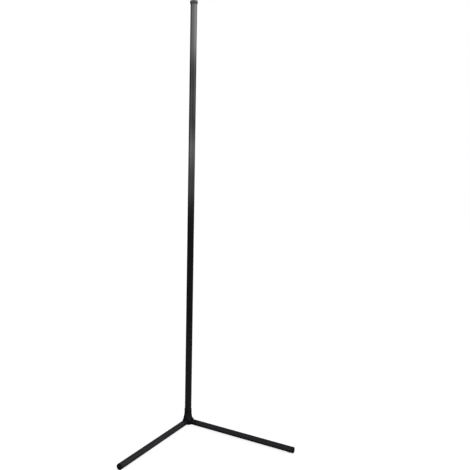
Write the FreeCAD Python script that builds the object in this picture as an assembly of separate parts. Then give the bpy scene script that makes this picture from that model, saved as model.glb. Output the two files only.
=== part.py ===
import FreeCAD, Part
import math
import os

# Corner floor lamp. Millimetres, +Z up. The mast axis is X = Y = 0 and the floor is Z = 0.
# The two legs run out in a V that is symmetric about X = 0 and opens toward -Y.
# The light slot of the mast faces the other way, toward +Y and the corner of the room.

V = FreeCAD.Vector
X_AXIS = V(1, 0, 0)
Y_AXIS = V(0, 1, 0)
Z_AXIS = V(0, 0, 1)
ORIGIN = V(0, 0, 0)

# ---- driving dimensions -------------------------------------------------------------------
LAMP_HEIGHT = 1400.0        # floor to the top of the cap
MAST_DIA = 22.0             # outside of the extruded mast
MAST_SECTIONS = 4           # lengths the mast is made of
LEG_DIA = 17.6              # outside of the leg tubes
LEG_WALL = 1.5              # wall of the leg tubes
LEG_REACH = 366.5           # mast axis to the outer face of a leg's end cap
LEG_SPREAD = 90.0           # angle between the two legs
PAD_THICK = 1.0             # rubber under the hub and the legs
COLLAR_DIA = 24.2           # round collar that holds the foot of the mast
COLLAR_TOP = 51.0           # height of the collar's top face
CAP_DIA = 25.6              # top cap
CAP_THICK = 12.0            # head of the top cap, above the mast
CAP_SKIRT = 6.5             # tapered lower part of the head
TURN_LIMIT = 45.0           # how far the mast turns each way in the collar

# ---- clearances ---------------------------------------------------------------------------
RUN_FIT = 0.05              # radial and axial play of pieces that turn
SLIP_FIT = 0.1              # pieces that are pushed together and then locked
THREAD_FIT = 0.03           # screw in its hole

# ---- values that follow from them ---------------------------------------------------------
MAST_R = MAST_DIA / 2
LEG_R = LEG_DIA / 2
LEG_BORE_R = LEG_R - LEG_WALL
LEG_AXIS_Z = PAD_THICK + LEG_R
COLLAR_R = COLLAR_DIA / 2
CAP_R = CAP_DIA / 2
HALF_SPREAD = LEG_SPREAD / 2

# hub
HUB_R = 15.6                # round body below the flare
HUB_BODY_TOP = 12.0         # where the flare starts
FLARE_TOP = 36.0            # where the flare meets the collar
HUB_BASE_Z = PAD_THICK
HUB_PLATE_R = 13.2
HUB_PLATE_THICK = 2.0
HUB_CAVITY_R = 12.0
LEDGE_TOP = 21.0            # ledge that the spigot's neck passes through
LEDGE_BASE = 17.6
ARM_ROOT_END = 16.6         # end of the thicker, raised root of a cast arm
ARM_ROOT_EXTRA = 2.5        # how much thicker than the leg tube the root is
ARM_ROOT_ROUND = 0.5
ARM_END = 36.0              # where the cast arm stops and the leg tube starts
ARM_SPIGOT_END = 76.0       # inner end of the stub inside the tube
PLATE_BASE = HUB_BASE_Z
PLATE_TOP = PLATE_BASE + HUB_PLATE_THICK
POST_RADIUS = 10.0          # pitch radius of the plate's screw posts
POST_R = 2.4
POST_ANGLES = (30.0, 150.0, 270.0)
PLATE_SCREW_HEAD_R = 2.2
HUB_PAD_R = POST_RADIUS - PLATE_SCREW_HEAD_R - 0.4

# bush, spigot and stop
JOURNAL_R = 8.0
BUSH_BORE_R = JOURNAL_R + RUN_FIT
BUSH_R = 9.25
BUSH_BASE = 24.0
BUSH_FLANGE_R = COLLAR_R - 0.9
BUSH_FLANGE_THICK = 0.6
BUSH_TOP = COLLAR_TOP + BUSH_FLANGE_THICK
SPIGOT_FLANGE_BASE = BUSH_TOP + RUN_FIT
SPIGOT_FLANGE_THICK = 2.35
MAST_BASE = SPIGOT_FLANGE_BASE + SPIGOT_FLANGE_THICK
NECK_R = 5.6
NECK_BASE = 15.5
CLIP_GROOVE_R = 5.0
CLIP_R = 7.2
CLIP_THICK = 1.0
CLIP_TOP = LEDGE_BASE - SLIP_FIT
LEAD_BORE_R = 2.6
LEAD_R = 1.4
STOP_PIN_R = 1.2
STOP_PIN_Z = (LEDGE_TOP + BUSH_BASE) / 2
STOP_PIN_TIP = BUSH_R - 0.15
STOP_WALL_R = JOURNAL_R + SLIP_FIT
SET_SCREW_Z = COLLAR_TOP - 10.0
SET_SCREW_TIP = JOURNAL_R + RUN_FIT
LEAD_MEET_Z = NECK_BASE - 2.0

# mast profile: a half-round cavity at the front, an open channel for the light at the back
MAST_TOP = LAMP_HEIGHT - CAP_THICK
SECTION_LENGTH = (MAST_TOP - MAST_BASE) / MAST_SECTIONS
MAST_WALL = 2.0              # front wall of the extrusion
CAVITY_R = MAST_R - MAST_WALL
CAVITY_FLAT_Y = 0.2
CHANNEL_FLOOR_Y = 2.0
CHANNEL_HALF = 5.5
CORE_R = CAVITY_R - SLIP_FIT
CORE_FLAT_Y = CAVITY_FLAT_Y - SLIP_FIT
EDGE_BREAK = 0.25
JOINER_LENGTH = 60.0
TENON_LENGTH = 40.0
TENON_SCREW_Z = MAST_BASE + TENON_LENGTH - 10.0
CAP_PLUG_LENGTH = 20.0
CAP_SCREW_Z = MAST_TOP - CAP_PLUG_LENGTH + 8.0
GRUB_R = 1.5
GRUB_DEPTH = 5.5
GRUB_OFFSET = 15.0
LEAD_SLOT_HALF = 2.2
LEAD_SLOT_TOP = MAST_BASE + 22.0

# light
BOARD_HALF = 5.0
BOARD_THICK = 0.8
BOARD_FRONT_Y = CHANNEL_FLOOR_Y + BOARD_THICK
BOARD_BASE = LEAD_SLOT_TOP
BOARD_TOP = MAST_TOP - CAP_PLUG_LENGTH - 5.0
CHIP_SIDE = 5.0
CHIP_THICK = 1.4
CHIP_COUNT = 39
CHIP_FIRST = BOARD_BASE + 18.0
CHIP_LAST = BOARD_TOP - 12.0
DIFFUSER_THICK = 1.2
DIFFUSER_HALF = CHANNEL_HALF - SLIP_FIT
DIFFUSER_LIP = 0.8

# leg ends
END_CAP_THICK = 5.0
END_CAP_R = LEG_R + 0.1
END_CAP_ROUND = 1.0         # rounding of the cap's rim
END_CAP_DISH_R = 5.2        # shallow round recess in the cap's face
END_CAP_DISH_DEPTH = 0.7
END_PLUG_LENGTH = 20.0
TUBE_END = LEG_REACH - END_CAP_THICK
LEG_PAD_LENGTH = 10.0
LEG_PAD_WIDTH = 4.0
LEG_PAD_WRAP = 0.6          # the most that the pad rises beside the tube
LEG_PAD_CENTRE = TUBE_END - LEG_PAD_LENGTH
LEG_SCREW_AT = 46.0
LEG_SCREW_R = 2.0

# power inlet at the back of the hub
BOSS_R = 7.5
BOSS_END = 18.0
INLET_R = 5.4
INLET_BACK = 8.5
INLET_FLANGE_R = 6.6
INLET_FLANGE_THICK = 1.2
JACK_R = 2.75
JACK_DEPTH = 9.0
JACK_PIN_R = 0.95


# ---- helpers ------------------------------------------------------------------------------
def cylinder(radius, base, top, axis=Z_AXIS, centre=ORIGIN):
    """Cylinder between two stations along an axis through a centre point."""
    start = centre + axis * base
    return Part.makeCylinder(radius, top - base, start, axis)


def box(x0, x1, y0, y1, z0, z1):
    return Part.makeBox(x1 - x0, y1 - y0, z1 - z0, V(x0, y0, z0))


def lathe(profile):
    """Solid of revolution about the mast axis from (radius, height) corners."""
    points = [V(r, 0, z) for r, z in profile]
    face = Part.Face(Part.makePolygon(points + [points[0]]))
    return face.revolve(ORIGIN, Z_AXIS, 360)


def joined(solids):
    """One solid out of overlapping ones."""
    shape = solids[0].multiFuse(solids[1:])
    return shape.removeSplitter()


def circle_edges(shape, radius, station, axis=Z_AXIS):
    """Circular edges of one radius that lie at one station along the axis."""
    found = []
    for edge in shape.Edges:
        curve = edge.Curve
        if not isinstance(curve, Part.Circle):
            continue
        if abs(curve.Radius - radius) > 1e-3:
            continue
        if abs(curve.Center.dot(axis) - station) < 1e-3:
            found.append(edge)
    return found


def hex_prism(across, base, top):
    """Hexagonal prism on the Z axis, by its width across the flats."""
    corner = across / math.sqrt(3)
    points = []
    for step in range(7):
        angle = math.radians(60 * step)
        points.append(V(corner * math.cos(angle), corner * math.sin(angle), base))
    return Part.Face(Part.makePolygon(points)).extrude(V(0, 0, top - base))


def placed(shape, direction, point):
    """Turn a shape drawn along +Z so that it points along a direction from a point."""
    copy = shape.copy()
    copy.Placement = FreeCAD.Placement(point, FreeCAD.Rotation(Z_AXIS, direction))
    return copy


def grub_screw(radius, length, direction, tip):
    """Headless screw with a hexagon socket. The tip is given, the socket faces the direction."""
    body = cylinder(radius, 0, length)
    body = body.makeChamfer(0.3, circle_edges(body, radius, 0))
    socket = hex_prism(radius, length - min(1.6, 0.45 * length), length + 1)
    return placed(body.cut(socket), direction, tip)


def headed_screw(head_r, head_h, shank_r, length, across, direction, seat):
    """Low-head screw. The underside of the head lies at the seat, the head faces the direction."""
    head = cylinder(head_r, 0, head_h)
    head = head.makeFillet(0.45 * head_h, circle_edges(head, head_r, head_h))
    shank = cylinder(shank_r, -length, 0)
    body = joined([head, shank])
    socket = hex_prism(across, 0.35 * head_h, head_h + 1)
    return placed(body.cut(socket), direction, seat)


def half_round(radius, flat_y, base, top):
    """Half-round bar that fills the front cavity of the mast up to a flat face."""
    bar = cylinder(radius, base, top)
    return bar.cut(box(-radius - 1, radius + 1, flat_y, radius + 1, base - 1, top + 1))


def left_of(shape):
    """The same piece on the other side of the plane of symmetry."""
    return shape.mirror(ORIGIN, X_AXIS)


def along_right_leg(shape):
    """Move a piece drawn along +X, at the leg's height, to the right leg."""
    copy = shape.copy()
    copy.rotate(ORIGIN, Z_AXIS, HALF_SPREAD - 90)
    return copy


def polar(radius, degrees, height=0.0):
    angle = math.radians(degrees)
    return V(radius * math.cos(angle), radius * math.sin(angle), height)


LEG_CENTRE = V(0, 0, LEG_AXIS_Z)
LEG_SCREW_SIDE = V(0, -1, 0)     # the leg screws face the inner side of the V
LEG_SCREW_POINT = V(LEG_SCREW_AT, 0, LEG_AXIS_Z)
nodes = {}


# ---- hub casting --------------------------------------------------------------------------
def hub_arm():
    """Cast arm with a thicker root, and the stub that the leg tube is pushed over."""
    arm = cylinder(LEG_R, 0, ARM_END, X_AXIS, LEG_CENTRE)
    root_r = LEG_R + ARM_ROOT_EXTRA
    root = cylinder(root_r, 0, ARM_ROOT_END, X_AXIS, LEG_CENTRE + Z_AXIS * ARM_ROOT_EXTRA)
    rim = circle_edges(root, root_r, ARM_ROOT_END, X_AXIS)
    root = root.makeFillet(ARM_ROOT_ROUND, rim)
    stub_r = LEG_BORE_R - RUN_FIT
    stub = cylinder(stub_r, ARM_END, ARM_SPIGOT_END, X_AXIS, LEG_CENTRE)
    stub = stub.makeChamfer(1.0, circle_edges(stub, stub_r, ARM_SPIGOT_END, X_AXIS))
    arm = joined([arm, root, stub])
    return arm.cut(cylinder(LEG_SCREW_R, 0, LEG_R + 1, LEG_SCREW_SIDE, LEG_SCREW_POINT))


def stop_groove():
    """Arc that the stop pin travels in, wide enough for the pin at both limits."""
    spare = math.degrees(math.asin((STOP_PIN_R + RUN_FIT) / STOP_WALL_R))
    sweep = 2 * (TURN_LIMIT + spare)
    start = V(0, 0, LEDGE_TOP)
    groove = Part.makeCylinder(BUSH_R, BUSH_BASE - LEDGE_TOP, start, Z_AXIS, sweep)
    groove.rotate(ORIGIN, Z_AXIS, -90 - sweep / 2)
    return groove


def flare_profile():
    """Corners of the flare, as shares of its width beyond the collar and of its height."""
    shares = ((0.99, 0.14), (0.96, 0.23), (0.89, 0.31), (0.77, 0.39),
              (0.60, 0.47), (0.43, 0.59), (0.26, 0.72), (0.11, 0.85))
    width = HUB_R - COLLAR_R
    height = FLARE_TOP - HUB_BODY_TOP
    return [(COLLAR_R + width * out, HUB_BODY_TOP + height * up) for out, up in shares]


def hub_casting():
    flare = lathe([
        (0, HUB_BASE_Z), (HUB_R - 0.8, HUB_BASE_Z), (HUB_R, HUB_BASE_Z + 0.8),
        (HUB_R, HUB_BODY_TOP)] + flare_profile() + [(COLLAR_R, FLARE_TOP),
        (COLLAR_R, COLLAR_TOP - 0.5), (COLLAR_R - 0.5, COLLAR_TOP), (0, COLLAR_TOP),
    ])
    right_arm = along_right_leg(hub_arm())
    boss = cylinder(BOSS_R, HUB_CAVITY_R, BOSS_END, Y_AXIS, LEG_CENTRE)
    casting = joined([flare, right_arm, left_of(right_arm), boss])
    casting = casting.cut(cylinder(HUB_CAVITY_R, PLATE_TOP, LEDGE_BASE))
    casting = casting.cut(cylinder(HUB_PLATE_R + SLIP_FIT, 0, PLATE_TOP))
    posts = []
    for angle in POST_ANGLES:
        centre = polar(POST_RADIUS, angle)
        posts.append(cylinder(POST_R, PLATE_TOP, LEDGE_BASE + 0.5, Z_AXIS, centre))
    casting = joined([casting] + posts)
    casting = casting.cut(cylinder(NECK_R + RUN_FIT, PLATE_TOP, LEDGE_TOP + 1))
    casting = casting.cut(cylinder(STOP_WALL_R, LEDGE_TOP, BUSH_BASE))
    casting = casting.cut(stop_groove())
    casting = casting.cut(cylinder(BUSH_R, BUSH_BASE, COLLAR_TOP + 1))
    for angle in POST_ANGLES:
        hole = cylinder(1.25, 0, PLATE_TOP + 8.0, Z_AXIS, polar(POST_RADIUS, angle))
        casting = casting.cut(hole)
    casting = casting.cut(cylinder(INLET_R + RUN_FIT, 6.0, BOSS_END + 1, Y_AXIS, LEG_CENTRE))
    screw_height = V(0, 0, SET_SCREW_Z)
    casting = casting.cut(cylinder(GRUB_R, BUSH_R - 1, COLLAR_R + 1, Y_AXIS, screw_height))
    return casting


nodes["hub_casting"] = hub_casting()


# ---- bottom plate, its screws and the hub's foot pad ---------------------------------------
def hub_bottom_plate():
    plate = cylinder(HUB_PLATE_R, PLATE_BASE, PLATE_TOP)
    for angle in POST_ANGLES:
        centre = polar(POST_RADIUS, angle)
        plate = plate.cut(cylinder(1.3, 0, PLATE_TOP + 1, Z_AXIS, centre))
        sink_r = PLATE_SCREW_HEAD_R + SLIP_FIT
        plate = plate.cut(cylinder(sink_r, 0, PLATE_BASE + 1.1, Z_AXIS, centre))
    return plate


nodes["hub_bottom_plate"] = hub_bottom_plate()
for number, angle in enumerate(POST_ANGLES, start=1):
    seat = polar(POST_RADIUS, angle, PLATE_BASE + 1.1)
    screw = headed_screw(PLATE_SCREW_HEAD_R, 1.0, 1.25 - THREAD_FIT, 7.5, 1.5, -Z_AXIS, seat)
    nodes["hub_plate_screw_%d" % number] = screw
nodes["hub_foot_pad"] = cylinder(HUB_PAD_R, 0, PAD_THICK)


# ---- legs ---------------------------------------------------------------------------------
def leg_tube():
    tube = cylinder(LEG_R, ARM_END, TUBE_END, X_AXIS, LEG_CENTRE)
    tube = tube.makeChamfer(0.4, circle_edges(tube, LEG_R, ARM_END, X_AXIS))
    tube = tube.cut(cylinder(LEG_BORE_R, ARM_END - 1, TUBE_END + 1, X_AXIS, LEG_CENTRE))
    hole_r = LEG_SCREW_R + RUN_FIT
    return tube.cut(cylinder(hole_r, 0, LEG_R + 1, LEG_SCREW_SIDE, LEG_SCREW_POINT))


def leg_end_cap():
    """Push-in cap: rounded flange with a shallow dished face, and a ribbed plug."""
    flange = cylinder(END_CAP_R, TUBE_END, LEG_REACH, X_AXIS, LEG_CENTRE)
    rim = circle_edges(flange, END_CAP_R, LEG_REACH, X_AXIS)
    flange = flange.makeFillet(END_CAP_ROUND, rim)
    dish_floor = LEG_REACH - END_CAP_DISH_DEPTH
    dish = cylinder(END_CAP_DISH_R, dish_floor, LEG_REACH + 1, X_AXIS, LEG_CENTRE)
    flange = flange.cut(dish)
    plug_start = TUBE_END - END_PLUG_LENGTH
    solids = [flange, cylinder(LEG_BORE_R - 0.5, plug_start, TUBE_END, X_AXIS, LEG_CENTRE)]
    for rib in range(4):
        station = plug_start + 2.0 + 4.5 * rib
        solids.append(cylinder(LEG_BORE_R - 0.02, station, station + 1.5, X_AXIS, LEG_CENTRE))
    return joined(solids)


def leg_foot_pad():
    """Rubber saddle between the floor and the underside of the tube."""
    half_length = LEG_PAD_LENGTH / 2
    half_width = LEG_PAD_WIDTH / 2
    start = LEG_PAD_CENTRE - half_length
    end = LEG_PAD_CENTRE + half_length
    pad = box(start, end, -half_width, half_width, 0, PAD_THICK + LEG_PAD_WRAP)
    corners = []
    for edge in pad.Edges:
        low, high = edge.Vertexes[0].Point, edge.Vertexes[-1].Point
        if abs(low.x - high.x) < 1e-6 and abs(low.y - high.y) < 1e-6:
            corners.append(edge)
    pad = pad.makeFillet(half_width - 0.5, corners)
    return pad.cut(cylinder(LEG_R, start - 1, end + 1, X_AXIS, LEG_CENTRE))


def leg_screw():
    seat = LEG_SCREW_POINT + LEG_SCREW_SIDE * LEG_R
    return headed_screw(2.9, 1.4, LEG_SCREW_R - THREAD_FIT, 6.5, 2.2, LEG_SCREW_SIDE, seat)


for name, piece in (("leg_tube", leg_tube()), ("leg_end_cap", leg_end_cap()),
                    ("leg_foot_pad", leg_foot_pad()), ("leg_screw", leg_screw())):
    right = along_right_leg(piece)
    nodes[name + "_right"] = right
    nodes[name + "_left"] = left_of(right)


# ---- power inlet --------------------------------------------------------------------------
def power_inlet():
    flange_end = BOSS_END + INLET_FLANGE_THICK
    body = cylinder(INLET_R, INLET_BACK, BOSS_END, Y_AXIS, LEG_CENTRE)
    flange = cylinder(INLET_FLANGE_R, BOSS_END, flange_end, Y_AXIS, LEG_CENTRE)
    rim = circle_edges(flange, INLET_FLANGE_R, flange_end, Y_AXIS)
    flange = flange.makeChamfer(0.4, rim)
    body = joined([body, flange])
    jack = cylinder(JACK_R, flange_end - JACK_DEPTH, flange_end + 1, Y_AXIS, LEG_CENTRE)
    body = body.cut(jack)
    pin_hole = cylinder(JACK_PIN_R, INLET_BACK + 0.5, flange_end, Y_AXIS, LEG_CENTRE)
    return body.cut(pin_hole)


def inlet_pin():
    tip = BOSS_END + INLET_FLANGE_THICK - 1.5
    pin = cylinder(JACK_PIN_R, INLET_BACK + 0.5, tip, Y_AXIS, LEG_CENTRE)
    return pin.makeFillet(0.6, circle_edges(pin, JACK_PIN_R, tip, Y_AXIS))


def inlet_lead():
    """Lead from the back of the inlet to the turning axis, where it rises into the spigot."""
    run = cylinder(LEAD_R, 0, INLET_BACK, Y_AXIS, LEG_CENTRE)
    rise = cylinder(LEAD_R, LEG_AXIS_Z, LEAD_MEET_Z)
    bend = Part.makeSphere(LEAD_R, LEG_CENTRE)
    return joined([run, rise, bend])


nodes["power_inlet"] = power_inlet()
nodes["inlet_pin"] = inlet_pin()
nodes["inlet_lead"] = inlet_lead()


# ---- collar bush and its set screw ---------------------------------------------------------
def collar_bush():
    bush = lathe([
        (BUSH_BORE_R, BUSH_BASE), (BUSH_R, BUSH_BASE), (BUSH_R, COLLAR_TOP),
        (BUSH_FLANGE_R, COLLAR_TOP), (BUSH_FLANGE_R, BUSH_TOP), (BUSH_BORE_R, BUSH_TOP),
    ])
    height = V(0, 0, SET_SCREW_Z)
    return bush.cut(cylinder(GRUB_R, 0, BUSH_R + 1, Y_AXIS, height))


nodes["collar_bush"] = collar_bush()
nodes["collar_set_screw"] = grub_screw(
    GRUB_R - THREAD_FIT, COLLAR_R - 0.1 - SET_SCREW_TIP, Y_AXIS, V(0, SET_SCREW_TIP, SET_SCREW_Z))


# ---- foot spigot, circlip and stop pin -----------------------------------------------------
def foot_spigot():
    shaft = lathe([
        (0, NECK_BASE), (NECK_R, NECK_BASE), (NECK_R, CLIP_TOP - CLIP_THICK - RUN_FIT),
        (CLIP_GROOVE_R, CLIP_TOP - CLIP_THICK - RUN_FIT), (CLIP_GROOVE_R, CLIP_TOP + RUN_FIT),
        (NECK_R, CLIP_TOP + RUN_FIT), (NECK_R, LEDGE_TOP + RUN_FIT),
        (JOURNAL_R, LEDGE_TOP + RUN_FIT), (JOURNAL_R, SPIGOT_FLANGE_BASE),
        (MAST_R, SPIGOT_FLANGE_BASE), (MAST_R, MAST_BASE), (0, MAST_BASE),
    ])
    tenon = half_round(CORE_R, CORE_FLAT_Y, MAST_BASE - 1, MAST_BASE + TENON_LENGTH)
    spigot = joined([shaft, tenon])
    spigot = spigot.cut(cylinder(LEAD_BORE_R, NECK_BASE - 1, LEAD_SLOT_TOP))
    pin = cylinder(STOP_PIN_R, LEAD_BORE_R, STOP_PIN_TIP, -Y_AXIS, V(0, 0, STOP_PIN_Z))
    screw_at = V(0, 0, TENON_SCREW_Z)
    hole = cylinder(GRUB_R, -4.0, 1.0, Y_AXIS, screw_at)
    return spigot.cut(pin).cut(hole)


def spigot_circlip():
    """Open spring ring that keeps the spigot from lifting out of the hub."""
    ring = cylinder(CLIP_R, CLIP_TOP - CLIP_THICK, CLIP_TOP)
    ring = ring.cut(cylinder(CLIP_GROOVE_R, CLIP_TOP - CLIP_THICK - 1, CLIP_TOP + 1))
    return ring.cut(box(-1.6, 1.6, 0, CLIP_R + 1, CLIP_TOP - CLIP_THICK - 1, CLIP_TOP + 1))


nodes["foot_spigot"] = foot_spigot()
nodes["spigot_circlip"] = spigot_circlip()
nodes["stop_pin"] = cylinder(
    STOP_PIN_R, LEAD_BORE_R + 0.5, STOP_PIN_TIP, -Y_AXIS, V(0, 0, STOP_PIN_Z))


# ---- mast sections, joiners and their screws -----------------------------------------------
def section_span(index):
    base = MAST_BASE + SECTION_LENGTH * index
    return base, base + SECTION_LENGTH


lock_heights = [TENON_SCREW_Z]
for joint_index in range(1, MAST_SECTIONS):
    joint_z = section_span(joint_index)[0]
    lock_heights += [joint_z - GRUB_OFFSET, joint_z + GRUB_OFFSET]
lock_heights.append(CAP_SCREW_Z)


def mast_section(index):
    """Extruded length with broken end edges, lock-screw holes and, lowest, the lead's slot."""
    base, top = section_span(index)
    blank = cylinder(MAST_R, base, top)
    ends = circle_edges(blank, MAST_R, base) + circle_edges(blank, MAST_R, top)
    section = blank.makeChamfer(EDGE_BREAK, ends)
    section = section.cut(half_round(CAVITY_R, CAVITY_FLAT_Y, base - 1, top + 1))
    channel = box(-CHANNEL_HALF, CHANNEL_HALF, CHANNEL_FLOOR_Y, MAST_R + 1, base - 1, top + 1)
    section = section.cut(channel)
    for height in lock_heights:
        if base < height < top:
            section = section.cut(cylinder(GRUB_R, 0, 3, Y_AXIS, V(0, 0, height)))
    if index == 0:
        slot = box(-LEAD_SLOT_HALF, LEAD_SLOT_HALF, 0, 3, base - 1, LEAD_SLOT_TOP)
        section = section.cut(slot)
    return section


def joiner(index):
    """Half-round bar that bridges two sections."""
    middle = section_span(index)[0]
    bar = half_round(CORE_R, CORE_FLAT_Y, middle - JOINER_LENGTH / 2, middle + JOINER_LENGTH / 2)
    for offset in (-GRUB_OFFSET, GRUB_OFFSET):
        bar = bar.cut(cylinder(GRUB_R, -4.0, 1.0, Y_AXIS, V(0, 0, middle + offset)))
    return bar


def lock_screw(height):
    tip = V(0, CHANNEL_FLOOR_Y - GRUB_DEPTH, height)
    return grub_screw(GRUB_R - THREAD_FIT, GRUB_DEPTH - 0.1, Y_AXIS, tip)


for index in range(MAST_SECTIONS):
    nodes["mast_section_%d" % (index + 1)] = mast_section(index)
for index in range(1, MAST_SECTIONS):
    nodes["joiner_%d" % index] = joiner(index)
for number, height in enumerate(lock_heights, start=1):
    nodes["lock_screw_%d" % number] = lock_screw(height)


# ---- top cap ------------------------------------------------------------------------------
def top_cap():
    """Round head that tapers down to the mast, on a half-round plug."""
    foot_r = MAST_R + 0.2
    head = lathe([(0, MAST_TOP), (foot_r, MAST_TOP), (CAP_R, MAST_TOP + CAP_SKIRT),
                  (CAP_R, LAMP_HEIGHT), (0, LAMP_HEIGHT)])
    head = head.makeFillet(0.8, circle_edges(head, CAP_R, LAMP_HEIGHT))
    plug = half_round(CORE_R, CORE_FLAT_Y, MAST_TOP - CAP_PLUG_LENGTH, MAST_TOP + 1)
    cap = joined([head, plug])
    return cap.cut(cylinder(GRUB_R, -4.0, 1.0, Y_AXIS, V(0, 0, CAP_SCREW_Z)))


nodes["top_cap"] = top_cap()


# ---- light: board, chips, diffuser and lead -------------------------------------------------
def light_chips():
    """Row of chips at an even pitch along the board."""
    pitch = (CHIP_LAST - CHIP_FIRST) / (CHIP_COUNT - 1)
    half = CHIP_SIDE / 2
    chips = []
    for number in range(CHIP_COUNT):
        z = CHIP_FIRST + pitch * number
        top_y = BOARD_FRONT_Y + CHIP_THICK
        chips.append(box(-half, half, BOARD_FRONT_Y, top_y, z - half, z + half))
    return Part.makeCompound(chips)


def diffuser():
    """Milky strip that closes the channel flush with the mast, with a lip at each side."""
    base = MAST_BASE + SLIP_FIT
    top = MAST_TOP - SLIP_FIT
    inner_r = MAST_R - DIFFUSER_THICK
    ring = cylinder(MAST_R, base, top).cut(cylinder(inner_r, base - 1, top + 1))
    cover = ring.common(box(-DIFFUSER_HALF, DIFFUSER_HALF, 1, MAST_R + 1, base, top))
    lip_top = math.sqrt(inner_r ** 2 - DIFFUSER_HALF ** 2) + 0.6
    lip_base = CHANNEL_FLOOR_Y + BOARD_THICK + CHIP_THICK
    inner = DIFFUSER_HALF - DIFFUSER_LIP
    right_lip = box(inner, DIFFUSER_HALF, lip_base, lip_top, base, top)
    left_lip = box(-DIFFUSER_HALF, -inner, lip_base, lip_top, base, top)
    return joined([cover, right_lip, left_lip])


def strip_lead():
    """Lead that rises on the turning axis and bends back to the lower end of the board."""
    bend = V(0, 0, LEAD_SLOT_TOP - 11.0)
    end = V(0, CHANNEL_FLOOR_Y + 0.9, LEAD_SLOT_TOP - SLIP_FIT - 0.6)
    slope = end - bend
    rise = cylinder(LEAD_R, LEAD_MEET_Z + SLIP_FIT, bend.z)
    slanted = Part.makeCylinder(LEAD_R, slope.Length, bend, slope)
    knuckle = Part.makeSphere(LEAD_R, bend)
    return joined([rise, knuckle, slanted])


nodes["light_board"] = box(-BOARD_HALF, BOARD_HALF, CHANNEL_FLOOR_Y, BOARD_FRONT_Y,
                           BOARD_BASE, BOARD_TOP)
nodes["light_chips"] = light_chips()
nodes["diffuser"] = diffuser()
nodes["strip_lead"] = strip_lead()


# ---- write one file per piece ---------------------------------------------------------------
os.makedirs("parts", exist_ok=True)
for name, shape in nodes.items():
    valid = shape.isValid()
    count = len(shape.Solids)
    print("%-22s solids %2d  valid %s  volume %10.1f mm3" % (name, count, valid, shape.Volume))
    shape.exportStep("parts/%s.step" % name)
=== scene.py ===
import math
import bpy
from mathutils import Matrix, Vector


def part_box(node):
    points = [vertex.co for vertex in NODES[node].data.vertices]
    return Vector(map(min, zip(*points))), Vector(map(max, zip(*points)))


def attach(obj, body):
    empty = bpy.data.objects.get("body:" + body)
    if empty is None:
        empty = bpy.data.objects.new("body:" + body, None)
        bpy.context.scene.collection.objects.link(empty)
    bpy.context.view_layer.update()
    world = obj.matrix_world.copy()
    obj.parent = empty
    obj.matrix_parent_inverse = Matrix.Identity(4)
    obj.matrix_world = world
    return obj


bl_info = {
    "name": "Corner floor lamp",
    "version": (1, 0, 0),
    "blender": (4, 5, 0),
    "location": "View3D > Sidebar > Corner Lamp",
    "description": "Finishes a slim corner floor lamp and sets it in a plain studio",
    "category": "Object",
}

import bmesh
import bpy
from mathutils import Matrix, Vector

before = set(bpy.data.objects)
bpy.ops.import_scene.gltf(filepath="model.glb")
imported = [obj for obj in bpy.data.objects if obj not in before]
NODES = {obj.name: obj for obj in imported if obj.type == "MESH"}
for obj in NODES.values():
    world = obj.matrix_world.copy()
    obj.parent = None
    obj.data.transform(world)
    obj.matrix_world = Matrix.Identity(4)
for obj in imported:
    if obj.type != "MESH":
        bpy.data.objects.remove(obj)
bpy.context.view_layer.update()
MM = 0.001


def numbered(stem):
    """Nodes whose names are a stem and a number."""
    return [name for name in sorted(NODES) if name.startswith(stem)]


MAST_SECTIONS = numbered("mast_section_")
LOCK_SCREWS = numbered("lock_screw_")
PLATE_SCREWS = numbered("hub_plate_screw_")
JOINERS = numbered("joiner_")
SIDES = ("right", "left")
CHIP_COUNT = 39

# A colour Mix node has sockets of the same name for other data, so its own go by their place.
MIX_FACTOR, MIX_FIRST, MIX_SECOND, MIX_RESULT = 0, 6, 7, 2

SENSOR_WIDTH = 36.0  # millimetres

# The soft boxes that gloss sees, as stops of a height and a grey level. The horizon is at the
# height below, and overhead at 1.
HORIZON = 0.05
SOFT_BOXES = (
    (0.0, 0.035), (0.03, 0.035), (0.052, 0.11), (0.073, 0.37), (0.1, 0.22), (0.122, 0.48),
    (0.15, 0.84), (0.175, 0.4), (0.197, 0.16), (0.24, 0.335), (0.28, 0.165), (0.3, 0.32),
    (0.32, 0.88), (0.39, 0.95), (0.48, 0.35), (0.72, 0.25), (1.0, 0.2),
)


# ---- shader maths ---------------------------------------------------------------------------
class Wire:
    """An output of a shader node that can be used in sums like a number."""

    def __init__(self, plan, socket):
        self.plan = plan
        self.socket = socket

    def _sum(self, operation, first, second):
        return self.plan.node("ShaderNodeMath", {"operation": operation}, {0: first, 1: second})

    def __add__(self, other):
        return self._sum("ADD", self, other)

    def __radd__(self, other):
        return self._sum("ADD", other, self)

    def __mul__(self, other):
        return self._sum("MULTIPLY", self, other)

    def __rmul__(self, other):
        return self._sum("MULTIPLY", other, self)

    def __gt__(self, other):
        return self._sum("GREATER_THAN", self, other)

    def __lt__(self, other):
        return self._sum("LESS_THAN", self, other)


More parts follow.
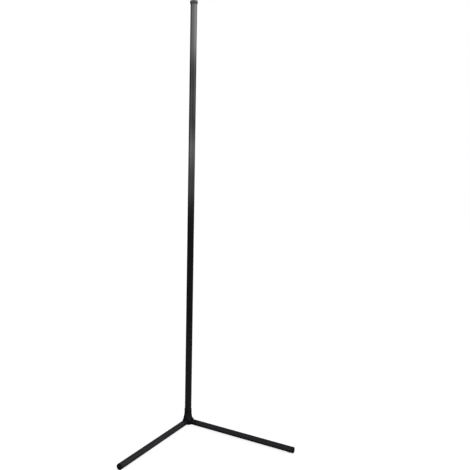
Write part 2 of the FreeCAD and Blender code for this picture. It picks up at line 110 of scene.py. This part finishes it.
class Plan:
    """The node tree of one material or of the world."""

    def __init__(self, tree):
        self.tree = tree

    def feed(self, socket, value):
        if isinstance(value, Wire):
            self.tree.links.new(value.socket, socket)
        else:
            socket.default_value = value

    def node(self, kind, settings=None, values=None, out=0):
        """Add a node: its settings first, then the value or wire of each socket."""
        made = self.tree.nodes.new(kind)
        for name, setting in (settings or {}).items():
            if name == "stops":
                self.fill_ramp(made.color_ramp.elements, setting)
            else:
                setattr(made, name, setting)
        for key, value in (values or {}).items():
            self.feed(made.inputs[key], value)
        return Wire(self, made.outputs[out])

    def fill_ramp(self, elements, stops):
        """Give a colour ramp its stops, each a position and a grey level."""
        while len(elements) < len(stops):
            elements.new(0.5)
        for element, (position, level) in zip(elements, stops):
            element.position = position
            element.color = (level, level, level, 1.0)

    def spot(self):
        """Object coordinates."""
        return self.node("ShaderNodeTexCoord", out="Object")

    def place(self, stretch=(1.0, 1.0, 1.0)):
        """Object coordinates, squeezed or stretched along each axis."""
        return self.node("ShaderNodeMapping", None, {"Vector": self.spot(), "Scale": stretch})

    def part(self, vector, axis):
        """One part, X, Y or Z, of a vector."""
        return self.node("ShaderNodeSeparateXYZ", None, {"Vector": vector}, out=axis)

    def ray(self, kind):
        """1 on rays of a kind, such as Camera or Glossy, and 0 on the others."""
        return self.node("ShaderNodeLightPath", out="Is %s Ray" % kind)

    def noise(self, place, scale, detail=3.0, rough=0.5):
        values = {"Vector": place, "Scale": scale, "Detail": detail, "Roughness": rough}
        return self.node("ShaderNodeTexNoise", None, values)

    def cells(self, place, scale):
        return self.node("ShaderNodeTexVoronoi", None, {"Vector": place, "Scale": scale})

    def blend(self, factor, first, second):
        """Mix two colours."""
        values = {MIX_FACTOR: factor, MIX_FIRST: rgba(first), MIX_SECOND: rgba(second)}
        return self.node("ShaderNodeMix", {"data_type": "RGBA"}, values, out=MIX_RESULT)

    def mix(self, share, first, second):
        """Mix two shaders."""
        return self.node("ShaderNodeMixShader", None, {0: share, 1: first, 2: second})

    def ramp(self, wire, start, end, low, high):
        """Run from low to high while a wire goes from start to end, and clamp it there."""
        values = {"Value": wire, "From Min": start, "From Max": end, "To Min": low, "To Max": high}
        return self.node("ShaderNodeMapRange", None, values)

    def spread(self, pattern, low, high):
        """Stretch the middle of a pattern, where most of it lies, to a range."""
        return self.ramp(pattern, start=0.3, end=0.7, low=low, high=high)

    def vary(self, pattern, colour, dark, light):
        """A colour that a pattern makes darker and lighter by these factors."""
        share = self.spread(pattern, 0.0, 1.0)
        return self.blend(share, shade(colour, dark), shade(colour, light))

    def bump(self, height, strength, distance):
        values = {"Height": height, "Strength": strength, "Distance": distance}
        return self.node("ShaderNodeBump", None, values)

    def background(self, strength, colour=(1.0, 1.0, 1.0, 1.0)):
        return self.node("ShaderNodeBackground", None, {"Color": colour, "Strength": strength})


class Finish(Plan):
    """A procedural surface finish."""

    def __init__(self, name):
        self.material = bpy.data.materials.new(name)
        self.material.use_nodes = True
        super().__init__(self.material.node_tree)
        self.shader = self.tree.nodes["Principled BSDF"]

    def set(self, **values):
        for name, value in values.items():
            self.feed(self.shader.inputs[name.replace("_", " ")], value)


def rgba(colour):
    if isinstance(colour, Wire):
        return colour
    return (*tuple(colour)[:3], 1.0)


def shade(colour, factor):
    return tuple(min(1.0, channel * factor) for channel in tuple(colour)[:3])


def dress(names, finish):
    """Give pieces that are already there a finish."""
    for name in names:
        piece = NODES[name]
        piece.data.materials.clear()
        piece.data.materials.append(finish.material)


# ---- finishes -------------------------------------------------------------------------------
def powder_coat(name, colour, roughness, shine):
    """Satin powder coat with a fine orange peel and a few lighter specks."""
    look = Finish(name)
    place = look.place()
    peel = look.noise(place, scale=900.0, detail=2.0)
    cloud = look.noise(place, scale=22.0)
    speck = look.noise(place, scale=3200.0, detail=1.0)
    tone = look.vary(cloud, colour, dark=0.8, light=1.25)
    tone = look.blend(look.spread(speck, 0.0, 0.25), tone, shade(colour, 2.0))
    gloss = look.spread(peel, roughness - 0.03, roughness + 0.04)
    look.set(Base_Color=tone, Roughness=gloss + look.spread(cloud, -0.02, 0.03))
    look.set(Normal=look.bump(peel, strength=0.12, distance=0.12 * MM), Specular_IOR_Level=shine)
    return look


def anodised(name, colour, roughness, shine=0.8):
    """Satin black anodised extrusion with faint lines along its length."""
    look = Finish(name)
    lines = look.noise(look.place((1.0, 1.0, 0.012)), scale=2600.0, rough=0.6)
    broad = look.noise(look.place((1.0, 1.0, 0.08)), scale=90.0, detail=2.0)
    tone = look.vary(broad, colour, dark=0.85, light=1.2)
    tone = look.blend(look.spread(lines, 0.0, 0.3), tone, shade(colour, 1.7))
    look.set(Base_Color=tone, Roughness=look.spread(lines, roughness - 0.02, roughness + 0.03))
    look.set(Normal=look.bump(lines, strength=0.02, distance=0.03 * MM), Specular_IOR_Level=shine)
    return look


def moulded(name, colour, roughness, grain=0.1, shine=0.45):
    """Moulded plastic with an eroded grain from its mould."""
    look = Finish(name)
    place = look.place()
    pits = look.cells(place, scale=2400.0)
    cloud = look.noise(place, scale=60.0, detail=2.0)
    tone = look.vary(cloud, colour, dark=0.85, light=1.2)
    look.set(Base_Color=tone, Roughness=look.spread(pits, roughness - 0.04, roughness + 0.05))
    look.set(Normal=look.bump(pits, grain, distance=0.06 * MM), Specular_IOR_Level=shine)
    return look


def rubber(name, colour, shine=0.3):
    """Matte rubber with dust in its pores."""
    look = Finish(name)
    place = look.place()
    pores = look.noise(place, scale=1800.0, detail=4.0, rough=0.7)
    dust = look.noise(place, scale=130.0, detail=4.0)
    tone = look.blend(look.spread(dust, 0.0, 0.35), colour, shade(colour, 3.0))
    look.set(Base_Color=tone, Roughness=look.spread(pores, 0.72, 0.9))
    look.set(Normal=look.bump(pores, strength=0.35, distance=0.1 * MM), Specular_IOR_Level=shine)
    return look


def bare_metal(name, colour, roughness, stretch=(1.0, 1.0, 1.0)):
    """Machined metal with fine tool lines."""
    look = Finish(name)
    lines = look.noise(look.place(stretch), scale=3000.0, rough=0.6)
    stain = look.noise(look.place(), scale=160.0)
    look.set(Base_Color=look.vary(stain, colour, dark=0.85, light=1.1), Metallic=1.0)
    look.set(Roughness=look.spread(lines, roughness - 0.06, roughness + 0.08))
    look.set(Normal=look.bump(lines, strength=0.08, distance=0.05 * MM))
    return look


def circuit_board(name, colour, copper=(0.74, 0.62, 0.44)):
    """White solder mask with a faint copper track under it along each side."""
    look = Finish(name)
    across = look.part(look.spot(), "X")
    off_centre = look.node("ShaderNodeMath", {"operation": "ABSOLUTE"}, {0: across})
    track = (off_centre > 3.3 * MM) * (off_centre < 4.5 * MM)
    wander = look.noise(look.place(), scale=400.0, detail=2.0)
    look.set(Base_Color=look.blend(track * 0.5, colour, copper))
    look.set(Roughness=look.spread(wander, 0.32, 0.42))
    look.set(Normal=look.bump(track + wander * 0.1, strength=0.2, distance=0.03 * MM))
    return look


def phosphor(name, colour):
    """Yellow phosphor gel in a chip's window."""
    look = Finish(name)
    grains = look.noise(look.place(), scale=4200.0)
    look.set(Base_Color=look.vary(grains, colour, dark=0.88, light=1.06))
    look.set(Roughness=look.spread(grains, 0.16, 0.26))
    look.set(Normal=look.bump(grains, strength=0.1, distance=0.03 * MM))
    return look


def milky_silicone(name, colour):
    """Translucent silicone strip with a faint bloom."""
    look = Finish(name)
    bloom = look.noise(look.place((1.0, 1.0, 0.25)), scale=70.0)
    skin = look.noise(look.place(), scale=1500.0, detail=2.0)
    look.set(Base_Color=look.vary(bloom, colour, dark=0.96, light=1.03))
    look.set(Roughness=look.spread(skin, 0.4, 0.5))
    look.set(Normal=look.bump(skin, strength=0.08, distance=0.04 * MM))
    look.set(Subsurface_Weight=0.2, Subsurface_Radius=(4.0 * MM, 4.0 * MM, 3.5 * MM), IOR=1.41)
    return look


# ---- modelling helpers ----------------------------------------------------------------------
def deselect():
    bpy.ops.object.select_all(action="DESELECT")


def only(piece):
    """Select one piece alone and make it the active one."""
    deselect()
    piece.select_set(True)
    bpy.context.view_layer.objects.active = piece


def settle(piece, name, finish, body):
    """Name a finished piece, put its place in its mesh, finish it and let it ride on its body."""
    only(piece)
    bpy.ops.object.transform_apply(location=True, rotation=True, scale=True)
    piece.name = name
    piece.data.name = name
    piece.data.materials.clear()
    piece.data.materials.append(finish.material)
    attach(piece, body)


def repeat(piece, count, step):
    """Make a piece a row of copies of itself, each a step from the one before."""
    modifier = piece.modifiers.new("row", "ARRAY")
    modifier.count = count
    modifier.use_relative_offset = False
    modifier.use_constant_offset = True
    modifier.constant_offset_displace = step
    only(piece)
    bpy.ops.object.modifier_apply(modifier=modifier.name)


def block(size, centre, bevel):
    """A small box with bevelled edges, drawn in place."""
    deselect()
    bpy.ops.mesh.primitive_cube_add(size=1.0, location=centre, scale=size)
    piece = bpy.context.object
    bpy.ops.object.transform_apply(location=False, rotation=False, scale=True)
    bpy.ops.object.mode_set(mode="EDIT")
    bpy.ops.mesh.select_all(action="SELECT")
    bpy.ops.mesh.bevel(offset=bevel, segments=1, affect="EDGES")
    bpy.ops.object.mode_set(mode="OBJECT")
    return piece


def select_outer_face(piece):
    """Select, in edit mode, the face that looks out of the light slot."""
    mesh = bmesh.from_edit_mesh(piece.data)
    for face in mesh.faces:
        face.select_set(face.normal.y > 0.9)
    mesh.select_flush_mode()
    bmesh.update_edit_mesh(piece.data)


# ---- settings -------------------------------------------------------------------------------
def colour_property(name, description, default):
    return bpy.props.FloatVectorProperty(
        name=name, description=description, default=default,
        subtype="COLOR", size=3, min=0.0, max=1.0)


def place_property(name, description, default):
    return bpy.props.FloatVectorProperty(
        name=name, description=description, default=default,
        subtype="TRANSLATION", unit="LENGTH", size=3)


def length_property(name, description, default):
    return bpy.props.FloatProperty(
        name=name, description=description, default=default, unit="LENGTH", subtype="DISTANCE")


def angle_property(name, description, default):
    return bpy.props.FloatProperty(
        name=name, description=description, default=math.radians(default),
        unit="ROTATION", subtype="ANGLE")


def factor_property(name, description, default, top=1.0):
    return bpy.props.FloatProperty(
        name=name, description=description, default=default, min=0.0, max=top, subtype="FACTOR")


def pixel_property(name, description, default):
    return bpy.props.FloatProperty(
        name=name, description=description, default=default, subtype="PIXEL")


def power_property(name, description, default):
    return bpy.props.FloatProperty(
        name=name, description=description, default=default, unit="POWER", subtype="POWER")


class LampFinishes(bpy.types.PropertyGroup):
    """Colours and roughness of the lamp's surfaces."""

    mast_colour: colour_property("Mast", "Anodised extrusion", (0.0042, 0.0042, 0.0056))
    mast_roughness: factor_property("Mast roughness", "Roughness of the extrusion", 0.09)
    hub_colour: colour_property("Hub", "Powder coat of the cast hub", (0.005, 0.0048, 0.0068))
    hub_roughness: factor_property("Hub roughness", "Roughness of the hub's coat", 0.5)
    plate_roughness: factor_property("Plate roughness", "Roughness of the bottom plate", 0.58)
    hub_shine: factor_property("Hub shine", "Specular level of the hub's coat", 0.18)
    leg_colour: colour_property("Legs", "Powder coat of the leg tubes", (0.0175, 0.017, 0.02))
    leg_roughness: factor_property("Leg roughness", "Roughness of the legs' coat", 0.45)
    leg_shine: factor_property("Leg shine", "Specular level of the legs' coat", 0.16)
    plastic_colour: colour_property("Plastic", "End caps and power inlet", (0.004, 0.004, 0.0042))
    cap_colour: colour_property("Top cap", "Moulded top cap", (0.04, 0.04, 0.041))
    rubber_colour: colour_property("Rubber", "Foot pads and leads", (0.009, 0.009, 0.009))
    screw_colour: colour_property("Screws", "Blackened steel screws", (0.035, 0.035, 0.038))
    steel_colour: colour_property("Spring steel", "Circlip and stop pin", (0.42, 0.42, 0.43))
    joiner_colour: colour_property("Joiners", "Bare aluminium joiners", (0.62, 0.62, 0.63))
    contact_colour: colour_property("Contact", "Pin of the power inlet", (0.78, 0.6, 0.28))


class LightStrip(bpy.types.PropertyGroup):
    """The light strip in the slot at the back of the mast."""

    board_colour: colour_property("Board", "Solder mask of the strip", (0.84, 0.84, 0.82))
    diffuser_colour: colour_property("Diffuser", "Milky silicone", (0.86, 0.86, 0.84))
    window_colour: colour_property("Chip window", "Phosphor of the chips", (0.86, 0.68, 0.16))
    frame_colour: colour_property("Chip frame", "Housing of the chips", (0.82, 0.82, 0.8))
    tin_colour: colour_property("Tin", "Solder pads", (0.72, 0.7, 0.66))
    resistor_colour: colour_property("Resistor", "Ceramic resistors", (0.02, 0.02, 0.022))
    window_radius: length_property("Window radius", "Round window of a chip", 1.9 * MM)
    resistor_length: length_property("Resistor length", "Chip resistor on the board", 2.0 * MM)
    pad_length: length_property("Pad length", "Solder pad between the chips", 2.6 * MM)


class Studio(bpy.types.PropertyGroup):
    """Camera, lamps, surroundings and floor."""

    distance: length_property("Distance", "Camera to the mast, along the view", 1.7)
    aside: length_property("Aside", "Camera to the left of the mast", 0.059634)
    height: length_property("Height", "Camera above the floor", 0.739533)
    turn: angle_property("Turn", "Camera's turn round the mast", 12.204)
    dip: angle_property("Dip", "Camera's tilt below level", 1.5)
    roll: angle_property("Roll", "Camera's roll", 0.77)
    lens_pixels: pixel_property("Focal length", "In pixels of the frame", 512.95)
    frame_pixels: pixel_property("Frame", "Width of the square frame in pixels", 470.0)
    centre_x: pixel_property("Centre X", "Optical axis from the left, in pixels", 172.872)
    centre_y: pixel_property("Centre Y", "Optical axis from the top, in pixels", 215.756)
    floor_size: length_property("Floor", "Side of the floor", 24.0)
    floor_drop: length_property("Floor drop", "Gap between the pads and the floor", 0.2 * MM)
    floor_colour: colour_property("Floor colour", "Pale floor", (0.82, 0.82, 0.82))
    floor_gloss: colour_property("Floor in gloss", "Floor as gloss sees it", (0.045, 0.045, 0.05))
    floor_glow: factor_property("Floor glow", "White of the floor to the camera", 1.2, 4.0)
    floor_white: factor_property("Floor white", "Share of glow in what the camera sees", 0.72)
    lamp_size: length_property("Lamp size", "Side of the soft lamps", 3.2)
    lamp_aim: place_property("Lamp aim", "Where the lamps point", (0.0, -0.1, 0.4))
    key_place: place_property("Key place", "Lamp right of the camera", (2.2, -2.0, 2.9))
    key_power: power_property("Key", "Key lamp, watts", 20.0)
    fill_place: place_property("Fill place", "Lamp left of the camera", (-2.6, -1.6, 2.7))
    fill_power: power_property("Fill", "Fill lamp, watts", 9.0)
    sky: factor_property("Sky", "Level of the surroundings on matt surfaces", 0.72, 4.0)
    sky_slant: factor_property("Sky slant", "How much more light comes from the right", 1.0)
    box_level: factor_property("Soft boxes", "Level of the soft boxes in gloss", 2.5, 8.0)


# ---- operators ------------------------------------------------------------------------------
class LAMP_OT_mast(bpy.types.Operator):
    """Finish the mast sections, the foot spigot, the joiners, their screws and the top cap"""

    bl_idname = "lamp.mast"
    bl_label = "Mast"

    def execute(self, context):
        look = context.scene.lamp_finishes
        dress(MAST_SECTIONS + ["foot_spigot"],
              anodised("anodised_black", look.mast_colour, look.mast_roughness))
        dress(["top_cap"],
              moulded("cap_plastic", look.cap_colour, roughness=0.45, grain=0.05, shine=1.0))
        dress(JOINERS,
              bare_metal("bare_aluminium", look.joiner_colour, 0.34, stretch=(1.0, 1.0, 0.03)))
        dress(LOCK_SCREWS, bare_metal("blackened_steel", look.screw_colour, roughness=0.34))
        return {"FINISHED"}


class LAMP_OT_hub(bpy.types.Operator):
    """Finish the cast hub, its plate, bush, stop, retaining ring and power inlet"""

    bl_idname = "lamp.hub"
    bl_label = "Hub"

    def execute(self, context):
        look = context.scene.lamp_finishes
        colour, shine = look.hub_colour, look.hub_shine
        dress(["hub_casting"], powder_coat("cast_black_coat", colour, look.hub_roughness, shine))
        dress(["hub_bottom_plate"],
              powder_coat("plate_black_coat", colour, look.plate_roughness, shine))
        dress(PLATE_SCREWS + ["collar_set_screw"],
              bare_metal("blackened_screw", look.screw_colour, roughness=0.3))
        dress(["collar_bush"], moulded("bush_plastic", look.plastic_colour, roughness=0.45))
        dress(["power_inlet"], moulded("inlet_plastic", look.plastic_colour, roughness=0.5))
        dress(["inlet_pin"], bare_metal("contact_brass", look.contact_colour, roughness=0.2))
        dress(["spigot_circlip", "stop_pin"],
              bare_metal("spring_steel", look.steel_colour, roughness=0.3))
        dress(["hub_foot_pad"], rubber("pad_rubber", look.rubber_colour))
        return {"FINISHED"}


class LAMP_OT_legs(bpy.types.Operator):
    """Finish the leg tubes, their end caps, foot pads and screws"""

    bl_idname = "lamp.legs"
    bl_label = "Legs"

    def execute(self, context):
        look = context.scene.lamp_finishes
        tube = powder_coat("tube_black_coat", look.leg_colour, look.leg_roughness, look.leg_shine)
        cap = moulded("end_cap_plastic", look.plastic_colour, roughness=0.5, shine=0.2)
        pad = rubber("leg_pad_rubber", look.rubber_colour)
        screw = bare_metal("leg_screw_steel", look.screw_colour, roughness=0.3)
        for side in SIDES:
            dress(["leg_tube_" + side], tube)
            dress(["leg_end_cap_" + side], cap)
            dress(["leg_foot_pad_" + side], pad)
            dress(["leg_screw_" + side], screw)
        return {"FINISHED"}


class LAMP_OT_light(bpy.types.Operator):
    """Finish the light strip and add the windows, resistors and solder pads on its board"""

    bl_idname = "lamp.light"
    bl_label = "Light strip"

    def execute(self, context):
        look = context.scene.lamp_finishes
        strip = context.scene.lamp_strip
        low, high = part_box("light_chips")
        board_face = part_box("light_board")[1].y
        chip_side = high.x - low.x
        first = low.z + chip_side / 2
        pitch = (high.z - low.z - chip_side) / (CHIP_COUNT - 1)
        dress(["light_board"], circuit_board("strip_board", strip.board_colour))
        dress(["light_chips"], moulded("chip_frame", strip.frame_colour, roughness=0.35))
        dress(["diffuser"], milky_silicone("milky_silicone", strip.diffuser_colour))
        dress(["strip_lead", "inlet_lead"], rubber("lead_sheath", look.rubber_colour))
        gel = phosphor("chip_phosphor", strip.window_colour)
        tin = bare_metal("tinned_copper", strip.tin_colour, roughness=0.25)
        ceramic = moulded("resistor_black", strip.resistor_colour, roughness=0.4)
        self.windows(strip.window_radius, high.y, first, pitch, gel)
        self.resistors(strip.resistor_length, board_face, first, pitch, ceramic)
        self.pads(strip.pad_length, board_face, first, pitch, tin)
        return {"FINISHED"}

    def windows(self, radius, face, first, pitch, gel):
        """A low dome of gel in the middle of each chip."""
        depth = 0.16 * MM
        sunk = 0.01 * MM
        centre = (0.0, face + depth / 2 - sunk, first)
        deselect()
        bpy.ops.mesh.primitive_cylinder_add(
            vertices=20, radius=radius, depth=depth, location=centre,
            rotation=(math.radians(-90.0), 0.0, 0.0))
        piece = bpy.context.object
        bpy.ops.object.transform_apply(location=False, rotation=True, scale=True)
        bpy.ops.object.mode_set(mode="EDIT")
        select_outer_face(piece)
        bpy.ops.mesh.inset(thickness=0.3 * MM, depth=0.08 * MM)
        bpy.ops.object.mode_set(mode="OBJECT")
        repeat(piece, CHIP_COUNT, (0.0, 0.0, pitch))
        settle(piece, "chip_windows", gel, "mast")

    def resistors(self, length, face, first, pitch, ceramic):
        """One chip resistor above each chip but the last."""
        width = 1.2 * MM
        height = 0.5 * MM
        off_centre = 1.8 * MM
        share_of_pitch = 0.32
        centre = (off_centre, face + height / 2, first + pitch * share_of_pitch)
        piece = block((width, height, length), centre, bevel=0.08 * MM)
        repeat(piece, CHIP_COUNT - 1, (0.0, 0.0, pitch))
        settle(piece, "strip_resistors", ceramic, "mast")

    def pads(self, length, face, first, pitch, tin):
        """Pairs of solder pads half way between the chips."""
        width = 1.5 * MM
        height = 0.12 * MM
        apart = 7.8 * MM
        centre = (-apart / 2, face + height / 2, first + pitch / 2)
        piece = block((width, height, length), centre, bevel=0.04 * MM)
        repeat(piece, 2, (apart, 0.0, 0.0))
        repeat(piece, CHIP_COUNT - 1, (0.0, 0.0, pitch))
        settle(piece, "strip_pads", tin, "mast")


class LAMP_OT_stage(bpy.types.Operator):
    """Set the pale floor, the surroundings, the soft lamps and the camera"""

    bl_idname = "lamp.stage"
    bl_label = "Studio"

    def execute(self, context):
        studio = context.scene.lamp_studio
        self.floor(studio)
        self.surroundings(context.scene, studio)
        self.lamps(studio)
        self.camera(context.scene, studio)
        context.scene.view_settings.view_transform = "Standard"
        return {"FINISHED"}

    def floor(self, studio):
        """Pale floor that is white to the camera apart from the lamp's shadow."""
        deselect()
        bpy.ops.mesh.primitive_plane_add(
            size=studio.floor_size, location=(0.0, 0.0, -studio.floor_drop))
        piece = bpy.context.object
        bpy.ops.object.transform_apply(location=True, rotation=True, scale=True)
        piece.name = "studio_floor"
        look = Finish("pale_floor")
        camera, glossy, clear = (look.ray(kind) for kind in ("Camera", "Glossy", "Transmission"))
        grain = look.noise(look.place(), scale=6.0, detail=2.0)
        pale = look.vary(grain, studio.floor_colour, dark=0.99, light=1.0)
        tone = look.blend(glossy, pale, studio.floor_gloss)
        look.set(Base_Color=tone, Roughness=0.9, Specular_IOR_Level=0.0)
        glow = look.node("ShaderNodeEmission", None, {"Strength": studio.floor_glow})
        spot = look.spot()
        away = look.node("ShaderNodeVectorMath", {"operation": "LENGTH"}, {0: spot}, out="Value")
        near_glow = look.ramp(away, start=0.75, end=1.75, low=0.08, high=0.03)
        share = (camera + clear) * studio.floor_white + glossy * near_glow
        surface = Wire(look, look.shader.outputs[0])
        output = look.tree.nodes["Material Output"]
        look.feed(output.inputs["Surface"], look.mix(share, surface, glow))
        piece.data.materials.append(look.material)

    def surroundings(self, scene, studio):
        """White to the camera. Gloss sees soft boxes that rise behind the camera."""
        world = bpy.data.worlds.new("studio")
        scene.world = world
        world.use_nodes = True
        plan = Plan(world.node_tree)
        heading = plan.node("ShaderNodeTexCoord", out="Generated")
        right, forward, rise = (plan.part(heading, axis) for axis in "XYZ")
        height = rise * (1.0 - HORIZON) + HORIZON
        boxes = plan.node("ShaderNodeValToRGB", {"stops": SOFT_BOXES}, {"Fac": height})
        # The upper boxes are brighter on the right, and the lower ones a little on the left.
        slant = plan.ramp(right, start=-1 / 3, end=-1 / 15, low=-0.2, high=0.22)
        upper = plan.ramp(rise, start=0.24375, end=0.29375, low=-0.5, high=1.0)
        # They fade towards what lies in front of the camera.
        back = plan.ramp(forward, start=-2 / 9, end=2 / 9, low=1.0, high=0.2)
        gloss = plan.background((1.0 + slant * upper) * back * studio.box_level, boxes)
        matt = plan.background((1.0 + studio.sky_slant * right) * studio.sky)
        white = plan.background(1.0)
        mixed = plan.mix(plan.ray("Glossy"), matt, gloss)
        mixed = plan.mix(plan.ray("Camera") + plan.ray("Transmission"), mixed, white)
        plan.feed(plan.tree.nodes["World Output"].inputs["Surface"], mixed)

    def lamps(self, studio):
        """A key lamp on the right and a weaker fill lamp on the left."""
        for name, power, place in (("key_lamp", studio.key_power, studio.key_place),
                                   ("fill_lamp", studio.fill_power, studio.fill_place)):
            heading = Vector(studio.lamp_aim) - Vector(place)
            turn = heading.to_track_quat("-Z", "Y").to_euler()
            deselect()
            bpy.ops.object.light_add(type="AREA", location=place, rotation=turn)
            lamp = bpy.context.object
            lamp.name = name
            lamp.data.shape = "SQUARE"
            lamp.data.size = studio.lamp_size
            lamp.data.energy = power

    def camera(self, scene, studio):
        """Camera at its place on the circle round the mast, shifted to the frame's centre."""
        turned = Matrix.Rotation(-studio.turn, 4, "Z")
        spot = turned @ Vector((-studio.aside, -studio.distance, studio.height))
        aim = turned @ Matrix.Rotation(math.radians(90.0) - studio.dip, 4, "X")
        aim = aim @ Matrix.Rotation(studio.roll, 4, "Z")
        deselect()
        bpy.ops.object.camera_add(location=spot, rotation=aim.to_euler())
        camera = bpy.context.object
        camera.name = "studio_camera"
        wide = studio.frame_pixels
        camera.data.sensor_width = SENSOR_WIDTH
        camera.data.lens = studio.lens_pixels / wide * SENSOR_WIDTH
        camera.data.shift_x = (wide / 2 - studio.centre_x) / wide
        camera.data.shift_y = (studio.centre_y - wide / 2) / wide
        camera.data.clip_end = 100.0
        scene.camera = camera


class LAMP_PT_panel(bpy.types.Panel):
    """Lists the lamp's settings and operators"""

    bl_idname = "LAMP_PT_panel"
    bl_label = "Corner floor lamp"
    bl_space_type = "VIEW_3D"
    bl_region_type = "UI"
    bl_category = "Corner Lamp"

    def draw(self, context):
        layout = self.layout
        for group_name in PROPERTY_GROUPS.values():
            settings = getattr(context.scene, group_name)
            box = layout.box()
            for name in settings.__annotations__:
                box.prop(settings, name)
        for operator in OPERATORS:
            layout.operator(operator.bl_idname)


PROPERTY_GROUPS = {
    LampFinishes: "lamp_finishes",
    LightStrip: "lamp_strip",
    Studio: "lamp_studio",
}
OPERATORS = (LAMP_OT_mast, LAMP_OT_hub, LAMP_OT_legs, LAMP_OT_light, LAMP_OT_stage)


def register():
    for group, name in PROPERTY_GROUPS.items():
        bpy.utils.register_class(group)
        setattr(bpy.types.Scene, name, bpy.props.PointerProperty(type=group))
    for operator in OPERATORS:
        bpy.utils.register_class(operator)
    bpy.utils.register_class(LAMP_PT_panel)


def unregister():
    bpy.utils.unregister_class(LAMP_PT_panel)
    for operator in reversed(OPERATORS):
        bpy.utils.unregister_class(operator)
    for group, name in PROPERTY_GROUPS.items():
        delattr(bpy.types.Scene, name)
        bpy.utils.unregister_class(group)


def main():
    register()
    bpy.ops.lamp.mast()
    bpy.ops.lamp.hub()
    bpy.ops.lamp.legs()
    bpy.ops.lamp.light()
    bpy.ops.lamp.stage()


if __name__ == "__main__":
    main()
